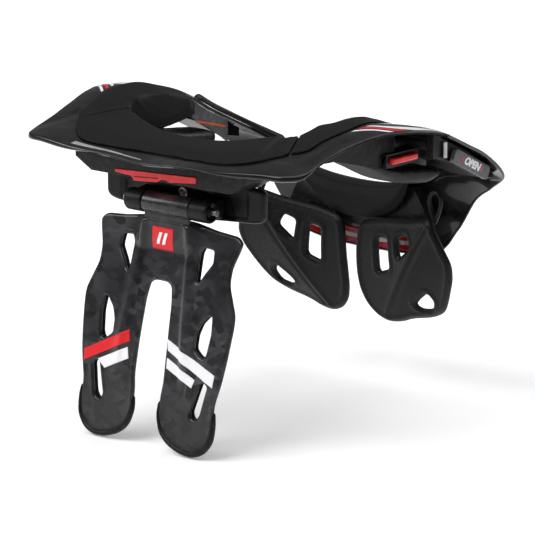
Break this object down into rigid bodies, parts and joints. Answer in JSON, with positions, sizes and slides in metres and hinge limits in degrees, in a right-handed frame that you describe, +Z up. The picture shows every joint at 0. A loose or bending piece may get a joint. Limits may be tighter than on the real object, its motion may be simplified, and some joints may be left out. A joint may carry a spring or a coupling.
{
  "type": "motocross neck brace",
  "caption": "Carbon shell collar for motocross, worn round the neck, with padded arches, a folding two-legged back strut and chest pads.",
  "frame": {"origin": "centre of the neck opening at the level where the shoulder pads bear", "axes": "+X the wearer's right, +Y the way the wearer faces, +Z up"},
  "size_m": [0.3104, 0.2774, 0.2451],
  "materials": {
    "carbon": "forged carbon under satin lacquer",
    "fabric": "fine mesh over foam",
    "grained": "grained moulded foam",
    "satin": "satin moulding",
    "red": "gloss",
    "steel": "turned"
  },
  "bodies": {
    "rear": {"rear_shell": "carbon", "rear_pad": "fabric", "arch_pad_right": "fabric", "arch_pad_left": "fabric", "shoulder_pad_right": "grained", "shoulder_pad_left": "grained", "arch_core_right": "satin", "arch_core_left": "satin", "pivot_bracket_right": "satin", "pivot_bracket_left": "satin", "pivot_pin_right": "steel", "pivot_pin_left": "steel", "rear_carrier": "satin", "hinge_plate": "satin", "hinge_pin": "steel", "adjuster_bar": "red", "lock_screw": "steel"},
    "strut": {"thoracic_strut": "carbon", "thoracic_pad": "fabric"},
    "front": {"front_shell": "carbon", "front_rim_bar_right": "satin", "front_rim_bar_left": "satin", "front_collar": "fabric", "side_panel_right": "grained", "side_panel_left": "grained", "side_block_right": "satin", "side_block_left": "satin", "side_window_right": "grained", "side_window_left": "grained", "chest_frame": "satin", "chest_pad_right": "grained", "chest_pad_left": "grained", "strap_loop_right": "satin", "strap_loop_left": "satin", "trim_band": "red"},
    "lever_right": {"open_lever_right": "satin"},
    "lever_left": {"open_lever_left": "satin"},
    "button_right": {"release_button_right": "red"},
    "button_left": {"release_button_left": "red"}
  },
  "joints": [
    {"name": "strut_fold", "type": "hinge", "parent": "rear", "child": "strut", "pos_m": [0, -0.117, -0.0148], "axis": [-1, 0, 0], "range_deg": [-3, 95]},
    {"name": "front_swing", "type": "hinge", "parent": "rear", "child": "front", "pos_m": [-0.152, 0.018, 0], "axis": [0, 0, 1], "range_deg": [0, 35]},
    {"name": "lever_right_lift", "type": "hinge", "parent": "front", "child": "lever_right", "pos_m": [0.1413, 0.08294, -0.00341], "axis": [0, 0.4384, 0.8988], "range_deg": [0, 22]},
    {"name": "lever_left_lift", "type": "hinge", "parent": "front", "child": "lever_left", "pos_m": [-0.1413, 0.08294, -0.00341], "axis": [0, -0.4384, -0.8988], "range_deg": [0, 22]},
    {"name": "button_right_press", "type": "slide", "parent": "rear", "child": "button_right", "axis": [-1, 0, 0], "range_m": [0, 0.0024], "stiffness_N_per_m": 400, "springref_m": -0.0005},
    {"name": "button_left_press", "type": "slide", "parent": "rear", "child": "button_left", "axis": [1, 0, 0], "range_m": [0, 0.0024], "stiffness_N_per_m": 400, "springref_m": -0.0005}
  ]
}
